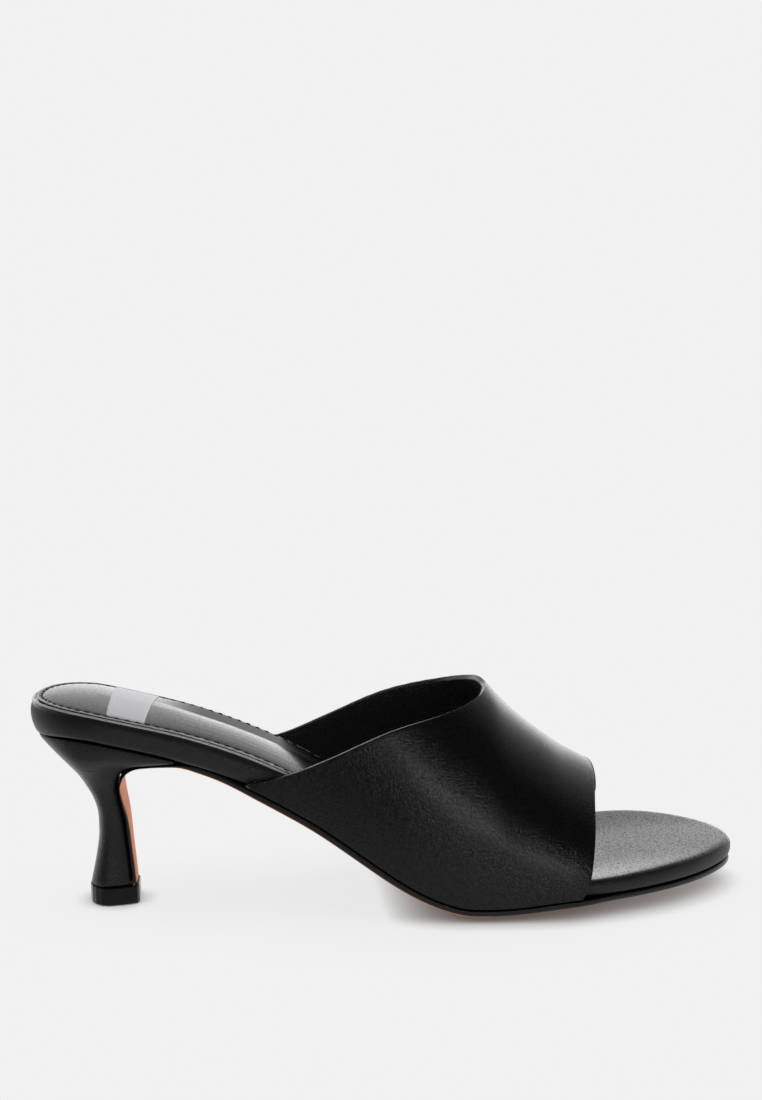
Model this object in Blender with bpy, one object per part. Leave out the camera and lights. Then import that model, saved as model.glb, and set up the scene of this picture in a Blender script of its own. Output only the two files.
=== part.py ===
# Kitten heel mule, a right shoe of about EU 38: open heel, open toe, one wide band over the instep.
# Frame: origin on the floor under the heel's axis, +X to the toe, +Y to the inner side of the foot, +Z up.
# Pieces, from the floor up: top_piece, heel, outsole with its breast flap, footbed, sock and upper.
import math
from bisect import bisect_right

import bmesh
import bpy
from mathutils import Vector

# Length and widths of the footbed
LENGTH = 0.2352            # back of the heel seat to the toe tip
HEEL_OVERHANG = 0.0262     # the seat's reach behind the heel's axis
SEAT_WIDTH = 0.0506
WAIST_WIDTH = 0.0476
BALL_WIDTH = 0.0752
SEAT_ROUND = 0.0250        # length of the round end at the heel
OUTER_TOE_ROUND = 0.0590   # length of the toe's slant over the small toes
INNER_TOE_ROUND = 0.0440   # length of the toe's round end beside the big toe
OUTER_TOE_POWER = 1.6      # below 2 the outer side of the toe is leaner than an ellipse

# Heights and thicknesses
SEAT_HEIGHT = 0.0600       # underside of the footbed at the heel seat, above the sole's flat spot
TOE_SPRING = 0.0071        # underside of the sole at the toe tip, above the floor
EDGE_LIFT = 0.0019         # rise of the sole's edges beside its flat middle
BAND_THICK = 0.0082        # footbed at the heel, square to its underside
ROLL = 0.0020              # width of the rolled edge on top of the footbed
SOLE_THICK = 0.0023
SOLE_BEVEL = 0.0007
SOLE_INSET = 0.0006        # sole's edge behind the footbed's side
SOLE_WELT = 0.0003         # sole's edge proud of the upper
FLAP_THICK = 0.0010        # sole leather on the breast of the heel
GAP = 0.0003               # clearance between touching pieces
FLAT_START = 0.597         # flat spot of the sole under the ball, shares of the length
FLAT_END = 0.646
FLAT_SHARE = 0.35          # flat middle of the sole there, share of half the ball's width

# Heel
TIP_HEIGHT = 0.0062
TIP_WIDTH = 0.0170
TIP_BACK = 0.0091          # top piece, behind the heel's axis
TIP_FRONT = 0.0072         # top piece, ahead of the heel's axis
TIP_FRONT_WIDTH = 0.0138
TIP_CORNER = 0.0022
TIP_EDGE = 0.0003          # rounding of the top piece's upper and lower edges
WIDEST_SHARE = 0.38        # where the heel is widest, from its back to its front
LIP_REACH = 0.0210         # front lip of the heel, ahead of the heel's axis
LIP_THICK = 0.0010
HEEL_INSET = 0.0009        # heel's top edge behind the footbed's side
HEEL_STEP = 0.0003         # heel's foot behind the top piece's side, all round
FLAP_STEP = 0.0018         # and more at the front, under the flap

# Upper
INSTEP_HEIGHT = 0.0710     # top of the collar above the floor
WALL = 0.0019
WELT_RAMP = 0.0100         # length over which the sole's edge comes out to the upper's

# Sock, the padded insole
SOCK_MARGIN = 0.0029       # its edge, inside the footbed's side
SOCK_SHOULDER = 0.0014     # width of its thinned edge
SOCK_EDGE = 0.0005
SOCK_CROWN = 0.0012        # padding along the middle, ahead of the seat
SOCK_REACH = 0.515         # share of the length that it covers
SEAT_DISH = 0.0012         # hollow of the heel seat
DISH_REACH = 2.6           # length of the hollow ahead of the seat's centre, in its half widths

# Plan of the footbed: share of the length, how far its width goes from waist to seat or to ball,
# and the outer side's part of that width
PLAN = (
    ("along", "seat", "ball", "outer"),
    (0.000, 1.00, 0.000, 0.500),
    (0.106, 1.00, 0.000, 0.500),
    (0.196, 0.62, 0.000, 0.505),
    (0.303, 0.00, 0.000, 0.517),
    (0.375, 0.00, 0.050, 0.522),
    (0.452, 0.00, 0.286, 0.510),
    (0.524, 0.00, 0.580, 0.492),
    (0.600, 0.00, 0.826, 0.472),
    (0.673, 0.00, 0.957, 0.459),
    (0.741, 0.00, 1.000, 0.456),
    (1.000, 0.00, 1.000, 0.456),
)

# Arch of the footbed's underside: share of the length, share of the seat's height
ARCH = (
    ("along", "height"),
    (0.000, 0.969),
    (0.025, 0.986),
    (0.052, 0.998),
    (0.080, 0.994),
    (0.119, 0.958),
    (0.167, 0.912),
    (0.207, 0.867),
    (0.233, 0.834),
    (0.260, 0.793),
    (0.287, 0.743),
    (0.307, 0.701),
    (0.350, 0.602),
    (0.391, 0.501),
    (0.431, 0.386),
    (0.471, 0.265),
    (0.500, 0.179),
    (0.519, 0.130),
    (0.537, 0.087),
    (0.556, 0.051),
    (0.577, 0.019),
    (FLAT_START, 0.000),
    (FLAT_END, 0.000),
    (1.000, 0.000),
)

# Toe spring: share of the length, share of the spring at the tip
SPRING = (
    ("along", "rise"),
    (0.000, 0.000),
    (FLAT_END, 0.000),
    (0.685, 0.110),
    (0.728, 0.275),
    (0.779, 0.440),
    (0.834, 0.585),
    (0.898, 0.745),
    (1.000, 1.000),
)

# Footbed: share of the length, its thickness as a share of the band at the heel,
# and how much of the edge lift is there
BODY = (
    ("along", "thick", "lift"),
    (0.000, 1.27, 0.0),
    (0.018, 1.25, 0.0),
    (0.028, 1.22, 0.0),
    (0.040, 1.15, 0.0),
    (0.060, 1.08, 0.0),
    (0.090, 1.00, 0.0),
    (0.120, 0.98, 0.0),
    (0.200, 1.00, 0.0),
    (0.250, 0.98, 0.0),
    (0.281, 0.99, 0.15),
    (0.324, 1.06, 0.3),
    (0.366, 1.13, 0.35),
    (0.431, 1.08, 0.5),
    (0.503, 0.98, 0.8),
    (0.580, 0.85, 1.0),
    (0.664, 0.75, 1.0),
    (0.779, 0.70, 1.0),
    (0.900, 0.79, 1.0),
    (1.000, 0.78, 1.0),
)

# Side of the footbed from its lower edge to the crest of the roll: inset as a share of the roll,
# height as a share of its thickness
SIDE = (
    ("inset", "height"),
    (0.45, 0.00),
    (0.14, 0.13),
    (0.00, 0.38),
    (0.04, 0.60),
    (0.20, 0.80),
    (0.52, 0.94),
    (1.00, 1.00),
)
BACK_TUCK = 0.0018         # more inset of the lower edge, at the very back

# Ridge of the last over the instep: share of the length, share of the collar's height, fullness.
# Behind the collar it is the cone that the topline is cut from.
RIDGE = (
    ("along", "height", "full"),
    (0.250, 1.800, 2.30),
    (0.356, 1.690, 2.30),
    (0.447, 1.500, 2.30),
    (0.500, 1.350, 2.30),
    (0.555, 1.200, 2.30),
    (0.588, 1.120, 2.28),
    (0.622, 1.038, 2.25),
    (0.635, 1.000, 2.25),
    (0.655, 0.925, 2.22),
    (0.685, 0.831, 2.18),
    (0.714, 0.756, 2.14),
    (0.743, 0.686, 2.10),
    (0.773, 0.630, 2.06),
    (0.790, 0.600, 2.05),
)

# Cut edges of the upper: way up the section from the sole, 0, to the ridge, 1,
# with the share of the length where the topline and the front edge lie
CUT = (
    ("up", "outer_top", "inner_top", "front"),
    (0.000, 0.2930, 0.2850, 0.7500),
    (0.062, 0.3500, 0.3450, 0.7590),
    (0.128, 0.3920, 0.3870, 0.7625),
    (0.239, 0.4450, 0.4430, 0.7665),
    (0.377, 0.5000, 0.4990, 0.7705),
    (0.517, 0.5550, 0.5530, 0.7735),
    (0.621, 0.5880, 0.5870, 0.7770),
    (0.792, 0.6215, 0.6210, 0.7835),
    (1.000, 0.6350, 0.6350, 0.7880),
)

# Heel block, by levels from its foot, 0, to the seat, 1. "back" goes from the foot's back, 0, to the
# seat's, 1, "front" from the foot's front to the lip's, "front_up" from the foot to the lip's height,
# the widths from the foot's to the seat's, and "cupped" is how far the level follows the seat.
HEEL = (
    ("level", "back", "front", "front_up", "wide", "front_wide", "cupped"),
    (0.000, 0.000, 0.000, 0.000, 0.000, 0.000, 0.00),
    (0.105, -0.085, -0.025, 0.121, -0.045, -0.025, 0.00),
    (0.218, -0.165, -0.057, 0.249, -0.080, -0.030, 0.00),
    (0.340, -0.225, -0.082, 0.389, -0.090, -0.025, 0.00),
    (0.458, -0.225, -0.113, 0.523, -0.045, 0.020, 0.00),
    (0.575, -0.135, -0.176, 0.651, 0.065, 0.110, 0.00),
    (0.680, 0.040, -0.211, 0.768, 0.240, 0.260, 0.00),
    (0.770, 0.230, -0.160, 0.844, 0.455, 0.410, 0.05),
    (0.850, 0.470, -0.060, 0.905, 0.680, 0.560, 0.15),
    (0.925, 0.735, 0.170, 0.958, 0.870, 0.740, 0.40),
    (0.975, 0.915, 0.547, 0.981, 0.960, 0.900, 0.75),
    (1.000, 1.000, 1.000, 1.000, 1.000, 1.000, 1.00),
)

# Sole behind the waist, from the heel's lip, 0, to the flap's foot, 1: its half width as a share of
# the seat's width, and how far its thickness is from the flap's, 0, to the sole's, 1
FLAP = (
    ("down", "half", "full"),
    (0.00, 0.430, 0.45),
    (0.10, 0.400, 0.05),
    (0.20, 0.370, -0.15),
    (0.28, 0.335, -0.15),
    (0.38, 0.285, -0.10),
    (0.55, 0.190, 0.10),
    (0.70, 0.138, 0.25),
    (0.85, 0.122, 0.30),
    (1.00, 0.120, 0.25),
)
LEAVE_ALONG = 0.218        # where the sole leaves the footbed, share of the length
NARROW_ALONG = 0.290       # and where it starts to draw in

# How finely the pieces are divided
ACROSS = (0.0, 0.12, 0.25, 0.34, 0.5, 0.66, 0.75, 0.88, 1.0)
SEAT_STEPS = 7
SHANK_STEPS = 18
TOE_STEPS = 9
END_SHARE = 0.922          # of a round end's quarter turn is divided, the rest is its blunt tip
STRANDS = 19               # of the upper, on each side of the ridge
STRAND_POWER = 1.45        # above 1 the strands lie closer together near the sole
STEPS = 22                 # from the topline to the front edge
FOREPART_STEPS = 7
ARCH_STEPS = 17
FLAP_ROWS = 36
PATH_STEPS = 120
HEEL_LOW_ROWS = 12         # up to the start of the fillet under the seat
HEEL_HIGH_ROWS = 16
FILLET_LEVEL = 0.66


def smooth_curve(keys, values):
    # Monotone cubic through the points: it stays level between two equal values.
    spans = [b - a for a, b in zip(keys, keys[1:])]
    rises = [(b - a) / s for a, b, s in zip(values, values[1:], spans)]
    slopes = [rises[0]]
    for before, after, short, long in zip(rises, rises[1:], spans, spans[1:]):
        if before * after <= 0.0:
            slopes.append(0.0)
        else:
            first = 2.0 * long + short
            second = long + 2.0 * short
            slopes.append((first + second) / (first / before + second / after))
    slopes.append(rises[-1])

    def at(key):
        key = min(max(key, keys[0]), keys[-1])
        i = min(bisect_right(keys, key), len(keys) - 1) - 1
        t = (key - keys[i]) / spans[i]
        start = (1.0 + 2.0 * t) * (1.0 - t) ** 2 * values[i]
        end = t * t * (3.0 - 2.0 * t) * values[i + 1]
        bend = t * (1.0 - t) ** 2 * slopes[i] - t * t * (1.0 - t) * slopes[i + 1]
        return start + end + bend * spans[i]

    return at


def columns(table):
    # One smooth curve for each named column of a table, over its first column.
    names = table[0]
    keys = [row[0] for row in table[1:]]
    return {
        name: smooth_curve(keys, [row[i] for row in table[1:]])
        for i, name in enumerate(names)
        if i > 0
    }


plan = columns(PLAN)
arch = columns(ARCH)
spring = columns(SPRING)
body = columns(BODY)
ridge = columns(RIDGE)
cut = columns(CUT)
heel_rows = columns(HEEL)
flap = columns(FLAP)


def along(x):
    return (x + HEEL_OVERHANG) / LENGTH


def place(share):
    return share * LENGTH - HEEL_OVERHANG


BACK_X = place(0.0)
TIP_X = place(1.0)
SEAT_CENTRE_X = BACK_X + SEAT_ROUND
OUTER_TOE_X = TIP_X - OUTER_TOE_ROUND
INNER_TOE_X = TIP_X - INNER_TOE_ROUND


def width(x):
    u = along(x)
    wide = WAIST_WIDTH + plan["seat"](u) * (SEAT_WIDTH - WAIST_WIDTH)
    return wide + plan["ball"](u) * (BALL_WIDTH - WAIST_WIDTH)


def centre(x):
    return width(x) * (0.5 - plan["outer"](along(x)))


def end_round(x, start, reach, power):
    # 1 up to the start of the round end, then a super-ellipse down to 0 at its tip.
    t = min(max((x - start) / reach, 0.0), 1.0)
    return (1.0 - t ** power) ** (1.0 / power)


def outer_y(x, inset=0.0):
    ends = end_round(-x, -SEAT_CENTRE_X, SEAT_ROUND, 2.0)
    ends *= end_round(x, OUTER_TOE_X, OUTER_TOE_ROUND, OUTER_TOE_POWER)
    return centre(x) - (width(x) / 2.0 - inset) * ends


def inner_y(x, inset=0.0):
    ends = end_round(-x, -SEAT_CENTRE_X, SEAT_ROUND, 2.0)
    ends *= end_round(x, INNER_TOE_X, INNER_TOE_ROUND, 2.0)
    return centre(x) + (width(x) / 2.0 - inset) * ends


def seam_middle(x):
    # Underside of the footbed along its middle, with the sole's thickness at the flat spot.
    u = along(x)
    return SOLE_THICK + GAP + arch["height"](u) * (SEAT_HEIGHT - SOLE_THICK) + spring["rise"](u) * TOE_SPRING


def seam(x, y):
    # Underside of the footbed: its edges rise a little on both sides of a flat middle.
    out = abs(y - centre(x)) / (BALL_WIDTH / 2.0)
    rise = max(out - FLAT_SHARE, 0.0) / (1.0 - FLAT_SHARE)
    return seam_middle(x) + EDGE_LIFT * body["lift"](along(x)) * rise * rise


def slope(x):
    return (seam_middle(x + GAP) - seam_middle(x - GAP)) / (2.0 * GAP)


def thickness(x):
    # Footbed's thickness, measured upright.
    return BAND_THICK * body["thick"](along(x)) * math.hypot(1.0, slope(x))


def footbed_top(x, y):
    return seam(x, y) + thickness(x)


def dish(x, y):
    # Depth of the hollow of the heel seat, longer ahead of the seat's centre than behind it.
    half = SEAT_WIDTH / 2.0 - SOCK_MARGIN - SOCK_SHOULDER
    reach = half if x < SEAT_CENTRE_X else half * DISH_REACH
    away = ((x - SEAT_CENTRE_X) / reach) ** 2 + ((y - centre(x)) / half) ** 2
    return SEAT_DISH * max(1.0 - away, 0.0)


def inset_x(x, inset):
    # Moves a station of the plan inwards at the round ends, as the outline's own inset does.
    if x < SEAT_CENTRE_X:
        return SEAT_CENTRE_X + (x - SEAT_CENTRE_X) * (1.0 - inset / SEAT_ROUND)
    if x > OUTER_TOE_X:
        return OUTER_TOE_X + (x - OUTER_TOE_X) * (1.0 - inset / OUTER_TOE_ROUND)
    return x


def end_stations(start, reach, count):
    # Stations from the start of a round end to its tip, closer together near the tip.
    return [start + reach * math.sin(END_SHARE * math.pi / 2.0 * k / count) for k in range(1, count + 1)]


def even_stations(start, end, count):
    return [start + (end - start) * k / count for k in range(count + 1)]


def footbed_stations():
    back = end_stations(SEAT_CENTRE_X, -SEAT_ROUND, SEAT_STEPS)[::-1]
    middle = even_stations(SEAT_CENTRE_X, INNER_TOE_X, SHANK_STEPS)
    return back + middle + end_stations(INNER_TOE_X, INNER_TOE_ROUND, TOE_STEPS)


def add_object(name, bm, colour, roughness):
    bmesh.ops.recalc_face_normals(bm, faces=bm.faces)
    mesh = bpy.data.meshes.new(name)
    bm.to_mesh(mesh)
    bm.free()
    mesh.shade_smooth()
    mesh.set_sharp_from_angle(angle=math.radians(40.0))
    piece = bpy.data.objects.new(name, mesh)
    collection.objects.link(piece)
    material = bpy.data.materials.new(name)
    material.use_nodes = True
    shader = material.node_tree.nodes["Principled BSDF"]
    shader.inputs["Base Color"].default_value = (*colour, 1.0)
    shader.inputs["Roughness"].default_value = roughness
    mesh.materials.append(material)
    return piece


def skin(bm, rows, closed):
    # Quads between neighbouring rows of vertices; closed rows are rings.
    for low, high in zip(rows, rows[1:]):
        count = len(low)
        last = count if closed else count - 1
        for i in range(last):
            j = (i + 1) % count
            bm.faces.new((low[i], low[j], high[j], high[i]))


def grid_edge(grid):
    # The boundary of a grid of vertices, in order.
    first = grid[0]
    last = grid[-1]
    ring = list(first)
    ring += [row[-1] for row in grid[1:-1]]
    ring += last[::-1]
    ring += [row[0] for row in grid[-2:0:-1]]
    return ring


def plate(bm, levels):
    # A closed plate: a bottom grid, rings of points up its side, and a top grid.
    # Each level is a grid of points, and only the boundary of the middle levels is used.
    bottom = [[bm.verts.new(p) for p in row] for row in levels[0]]
    top = [[bm.verts.new(p) for p in row] for row in levels[-1]]
    skin(bm, bottom, False)
    skin(bm, top, False)
    rings = [grid_edge(bottom)]
    for level in levels[1:-1]:
        rings.append([bm.verts.new(p) for p in grid_edge(level)])
    rings.append(grid_edge(top))
    skin(bm, rings, True)


def plan_grid(stations, inset, height):
    # A grid of points over the plan, drawn in by the inset, at the height of a function of x and y.
    grid = []
    for x in stations:
        moved = inset_x(x, inset)
        left = outer_y(x, inset)
        right = inner_y(x, inset)
        row = []
        for share in ACROSS:
            y = left + (right - left) * share
            row.append((moved, y, height(moved, y, share)))
        grid.append(row)
    return grid


def tuck(x, height_share):
    # How far the lower edge of the seat is drawn in at its back.
    back = min(max((SEAT_CENTRE_X - x) / SEAT_ROUND, 0.0), 1.0)
    return BACK_TUCK * back * back * (1.0 - height_share) ** 2


def build_footbed():
    stations = footbed_stations()
    levels = []
    for inset_share, height_share in SIDE[1:]:
        def height(x, y, share, lift=height_share):
            hollow = dish(x, y) if lift == 1.0 else 0.0
            return seam(x, y) + thickness(x) * lift - hollow

        grid = plan_grid(stations, ROLL * inset_share, height)
        levels.append([[(x + tuck(x, height_share), y, z) for x, y, z in row] for row in grid])
    bm = bmesh.new()
    plate(bm, levels)
    return add_object("footbed", bm, (0.012, 0.012, 0.013), 0.42)


def build_sock():
    end = place(SOCK_REACH)
    stations = [x for x in footbed_stations() if x < end - SOCK_MARGIN] + [end]

    def under(x, y, share):
        return footbed_top(x, y) - dish(x, y) + GAP

    def edge(x, y, share):
        return under(x, y, share) + SOCK_EDGE / 2.0

    def over(x, y, share):
        waist = min(max((x - SEAT_CENTRE_X) / SEAT_ROUND, 0.0), 1.0)
        crown = SOCK_CROWN * waist * (1.0 - (2.0 * share - 1.0) ** 2)
        return under(x, y, share) + SOCK_EDGE + crown

    levels = [
        plan_grid(stations, SOCK_MARGIN, under),
        plan_grid(stations, SOCK_MARGIN, edge),
        plan_grid(stations, SOCK_MARGIN + SOCK_SHOULDER, over),
    ]
    bm = bmesh.new()
    plate(bm, levels)
    return add_object("sock", bm, (0.016, 0.016, 0.018), 0.30)


def upper_half(x, side):
    # Half width of the upper's outer face at the sole, on one side of the centre line.
    edge = outer_y(x) if side < 0 else inner_y(x)
    return abs(edge - centre(x)) + GAP + WALL


def upper_point(x, angle):
    # Outer face of the upper: a super-ellipse section from the sole, over the ridge, to the sole.
    side = -1.0 if math.cos(angle) > 0.0 else 1.0
    u = along(x)
    power = 2.0 / ridge["full"](u)
    half = upper_half(x, side)
    y = centre(x) + side * half * abs(math.cos(angle)) ** power
    foot = seam(x, centre(x) + side * half)
    top = INSTEP_HEIGHT * ridge["height"](u)
    z = foot + (top - foot) * max(math.sin(angle), 0.0) ** power
    return Vector((x, y, z))


def build_upper():
    ways = [(k / STRANDS) ** STRAND_POWER for k in range(STRANDS + 1)]
    strands = [(w, "outer_top") for w in ways] + [(w, "inner_top") for w in ways[-2::-1]]
    outer = []
    for index, (up, topline) in enumerate(strands):
        quarter = up * math.pi / 2.0
        angle = quarter if topline == "outer_top" else math.pi - quarter
        start = place(cut[topline](up))
        end = place(cut["front"](up))
        outer.append([upper_point(start + (end - start) * k / STEPS, angle) for k in range(STEPS + 1)])
    inner = []
    for i, strand in enumerate(outer):
        row = []
        for k, point in enumerate(strand):
            beside = outer[min(i + 1, len(outer) - 1)][k] - outer[max(i - 1, 0)][k]
            ahead = strand[min(k + 1, STEPS)] - strand[max(k - 1, 0)]
            if i in (0, len(outer) - 1):
                beside = Vector((0.0, 0.0, 1.0 if i == 0 else -1.0))
            normal = ahead.cross(beside).normalized()
            row.append(point - normal * WALL)
        inner.append(row)
    bm = bmesh.new()
    outer_verts = [[bm.verts.new(p) for p in row] for row in outer]
    inner_verts = [[bm.verts.new(p) for p in row] for row in inner]
    skin(bm, outer_verts, False)
    skin(bm, inner_verts, False)
    skin(bm, [grid_edge(outer_verts), grid_edge(inner_verts)], True)
    return add_object("upper", bm, (0.014, 0.014, 0.015), 0.45)


HEEL_FOOT = TIP_HEIGHT + GAP
HEEL_FRONT = TIP_FRONT - HEEL_STEP - FLAP_STEP
LIP_HEIGHT = seam_middle(LIP_REACH) - GAP - LIP_THICK


def breast_point(level):
    # Front face of the heel block in the middle plane, from its foot at 0 up to the lip at 1.
    x = HEEL_FRONT + heel_rows["front"](level) * (LIP_REACH - HEEL_FRONT)
    return x, HEEL_FOOT + heel_rows["front_up"](level) * (LIP_HEIGHT - HEEL_FOOT)


def section_loop(back, widest, front, half, front_half, corner):
    # Plan of the heel: a round back, tapering sides and a flat front with small corners.
    near = []
    for degrees in (0.0, 14.0, 30.0, 48.0, 68.0, 90.0):
        angle = math.radians(degrees)
        near.append((widest - (widest - back) * math.cos(angle), -half * math.sin(angle)))
    near.append(((widest + front) / 2.0, -(half + front_half) / 2.0))
    near.append((front - corner, -front_half))
    near.append((front - 0.29 * corner, -front_half + 0.29 * corner))
    near.append((front, -front_half + corner))
    near.append((front, 0.0))
    far = [(x, -y) for x, y in near[-2:0:-1]]
    return near + far


def ladder_cap(bm, ring):
    # Closes a ring whose points lie in mirrored pairs.
    count = len(ring)
    half = count // 2
    bm.faces.new((ring[0], ring[1], ring[-1]))
    for i in range(1, half - 1):
        bm.faces.new((ring[i], ring[i + 1], ring[count - i - 1], ring[count - i]))
    bm.faces.new((ring[half - 1], ring[half], ring[half + 1]))


def heel_levels():
    low = [FILLET_LEVEL * k / HEEL_LOW_ROWS for k in range(HEEL_LOW_ROWS)]
    high = [FILLET_LEVEL + (1.0 - FILLET_LEVEL) * k / HEEL_HIGH_ROWS for k in range(HEEL_HIGH_ROWS + 1)]
    return low + high


def build_heel():
    seat_back = BACK_X + BACK_TUCK + ROLL * SIDE[1][0]
    seat_half = SEAT_WIDTH / 2.0 - ROLL * SIDE[1][0] - HEEL_INSET
    foot_back = -TIP_BACK + HEEL_STEP
    foot_half = TIP_WIDTH / 2.0 - HEEL_STEP
    foot_front_half = TIP_FRONT_WIDTH / 2.0 - HEEL_STEP
    bm = bmesh.new()
    rings = []
    for level in heel_levels():
        back = foot_back + (seat_back - foot_back) * heel_rows["back"](level)
        front, front_z = breast_point(level)
        half = foot_half + heel_rows["wide"](level) * (seat_half - foot_half)
        front_half = foot_front_half + heel_rows["front_wide"](level) * (seat_half - foot_front_half)
        cupped = heel_rows["cupped"](level)
        widest = (1.0 - cupped) * (back + WIDEST_SHARE * (front - back)) + cupped * SEAT_CENTRE_X
        back_z = HEEL_FOOT + level * (seam_middle(seat_back) - GAP - LIP_THICK - HEEL_FOOT)
        chord = (seam_middle(front) - seam_middle(back)) / (front - back)
        ring = []
        for x, y in section_loop(back, widest, front, half, front_half, TIP_CORNER):
            z = back_z + (front_z - back_z) * (x - back) / (front - back)
            z += cupped * (seam_middle(x) - seam_middle(back) - chord * (x - back))
            ring.append(bm.verts.new((x, y, z)))
        rings.append(ring)
    seat = []
    for vert in rings[-1]:
        x, y, z = vert.co
        seat.append(bm.verts.new((x, y, seam_middle(x) - GAP)))
    rings.append(seat)
    skin(bm, rings, True)
    ladder_cap(bm, rings[0])
    ladder_cap(bm, rings[-1])
    return add_object("heel", bm, (0.013, 0.013, 0.014), 0.38)


def build_top_piece():
    bm = bmesh.new()
    rings = []
    for z, shrink in ((0.0, TIP_EDGE), (TIP_EDGE, 0.0), (TIP_HEIGHT - TIP_EDGE, 0.0), (TIP_HEIGHT, TIP_EDGE)):
        back = -TIP_BACK + shrink
        front = TIP_FRONT - shrink
        widest = back + WIDEST_SHARE * (front - back)
        loop = section_loop(back, widest, front, TIP_WIDTH / 2.0 - shrink,
                            TIP_FRONT_WIDTH / 2.0 - shrink, TIP_CORNER)
        rings.append([bm.verts.new((x, y, z)) for x, y in loop])
    skin(bm, rings, True)
    ladder_cap(bm, rings[0])
    ladder_cap(bm, rings[-1])
    return add_object("top_piece", bm, (0.010, 0.010, 0.011), 0.25)


def covered(x):
    # 1 where the upper stands on the sole, 0 beyond its cut edges, with short ramps.
    rear = place(CUT[1][1]) - WELT_RAMP / 2.0
    front = place(CUT[1][3]) + WELT_RAMP
    return max(min((x - rear) / WELT_RAMP, (front - x) / WELT_RAMP, 1.0), 0.0)


def sole_edge_inset(x):
    return SOLE_INSET - covered(x) * (SOLE_INSET + GAP + WALL + SOLE_WELT)


def flap_path():
    # The heel's front face from its lip down to its foot, as x and z over the distance along it.
    path = [breast_point(1.0 - k / PATH_STEPS) for k in range(PATH_STEPS + 1)]
    distance = [0.0]
    for before, after in zip(path, path[1:]):
        distance.append(distance[-1] + math.dist(before, after))
    xs = smooth_curve(distance, [p[0] for p in path])
    zs = smooth_curve(distance, [p[1] for p in path])
    return xs, zs, distance[-1]


def sole_rows():
    # Rows of the sole from the toe tip to the flap's foot: inner point, outward normal,
    # thickness and the two edges.
    rows = []
    leave = place(LEAVE_ALONG)
    leave_half = flap["half"](0.0) * SEAT_WIDTH
    narrow_reach = place(NARROW_ALONG) - leave
    toe = end_stations(INNER_TOE_X, INNER_TOE_ROUND, TOE_STEPS)[::-1]
    forepart = even_stations(INNER_TOE_X, place(FLAT_END), FOREPART_STEPS)
    flat_middle = place((FLAT_START + FLAT_END) / 2.0)
    arch_part = even_stations(place(FLAT_START), leave, ARCH_STEPS)
    for x in toe + forepart + [flat_middle] + arch_part:
        steep = slope(x)
        size = math.hypot(1.0, steep)
        inset = sole_edge_inset(x)
        moved = inset_x(x, max(inset, 0.0))
        narrow = min(max((leave + narrow_reach - x) / narrow_reach, 0.0), 1.0)
        left = outer_y(x, inset) * (1.0 - narrow) - narrow * leave_half
        right = inner_y(x, inset) * (1.0 - narrow) + narrow * leave_half
        rows.append((moved, seam_middle(x) - GAP, steep / size, -1.0 / size, SOLE_THICK, left, right))
    path_x, path_z, path_length = flap_path()
    for way in even_stations(GAP, path_length - GAP, FLAP_ROWS):
        down = (way - GAP) / (path_length - 2.0 * GAP)
        run = path_x(way + GAP) - path_x(way - GAP)
        fall = path_z(way + GAP) - path_z(way - GAP)
        size = math.hypot(run, fall)
        normal_x = -fall / size
        normal_z = run / size
        half = flap["half"](down) * SEAT_WIDTH
        thick = FLAP_THICK + flap["full"](down) * (SOLE_THICK - FLAP_THICK)
        rows.append((
            path_x(way) + normal_x * GAP, path_z(way) + normal_z * GAP, normal_x, normal_z,
            thick, -half, half,
        ))
    return rows


def build_outsole():
    bm = bmesh.new()
    rings = []
    for x, z, normal_x, normal_z, thick, left, right in sole_rows():
        ring = []
        for share in ACROSS:
            y = left + (right - left) * share
            lift = seam(x, y) - seam_middle(x)
            ring.append((x, y, z + lift))
        bevel = min(SOLE_BEVEL, 0.2 * (right - left))
        low = []
        for share in ACROSS[::-1]:
            y = left + bevel + (right - left - 2.0 * bevel) * share
            lift = seam(x, y) - seam_middle(x)
            low.append((x + normal_x * thick, y, z + normal_z * thick + lift))
        side = 0.55 * thick
        lift = seam(x, right) - seam_middle(x)
        ring.append((x + normal_x * side, right, z + normal_z * side + lift))
        ring += low
        lift = seam(x, left) - seam_middle(x)
        ring.append((x + normal_x * side, left, z + normal_z * side + lift))
        rings.append([bm.verts.new(p) for p in ring])
    skin(bm, rings, True)
    for ring in (rings[0], rings[-1]):
        upper_row = ring[:len(ACROSS)]
        lower_row = ring[len(ACROSS) + 1:-1][::-1]
        skin(bm, [upper_row, lower_row], False)
        bm.faces.new((upper_row[-1], ring[len(ACROSS)], lower_row[-1]))
        bm.faces.new((upper_row[0], ring[-1], lower_row[0]))
    return add_object("outsole", bm, (0.52, 0.29, 0.16), 0.55)


for old in list(bpy.context.scene.objects):
    bpy.data.objects.remove(old, do_unlink=True)
collection = bpy.data.collections.new("kitten_heel_mule")
bpy.context.scene.collection.children.link(collection)
build_top_piece()
build_heel()
build_outsole()
build_footbed()
build_sock()
build_upper()
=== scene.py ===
# Kitten heel mule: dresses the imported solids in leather, lining, padding, stitches and paint.
# Metres, +X to the toe, +Y to the inner side of the foot, +Z up.
import math

import bpy
import numpy as np
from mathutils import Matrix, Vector
from mathutils.bvhtree import BVHTree


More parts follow.
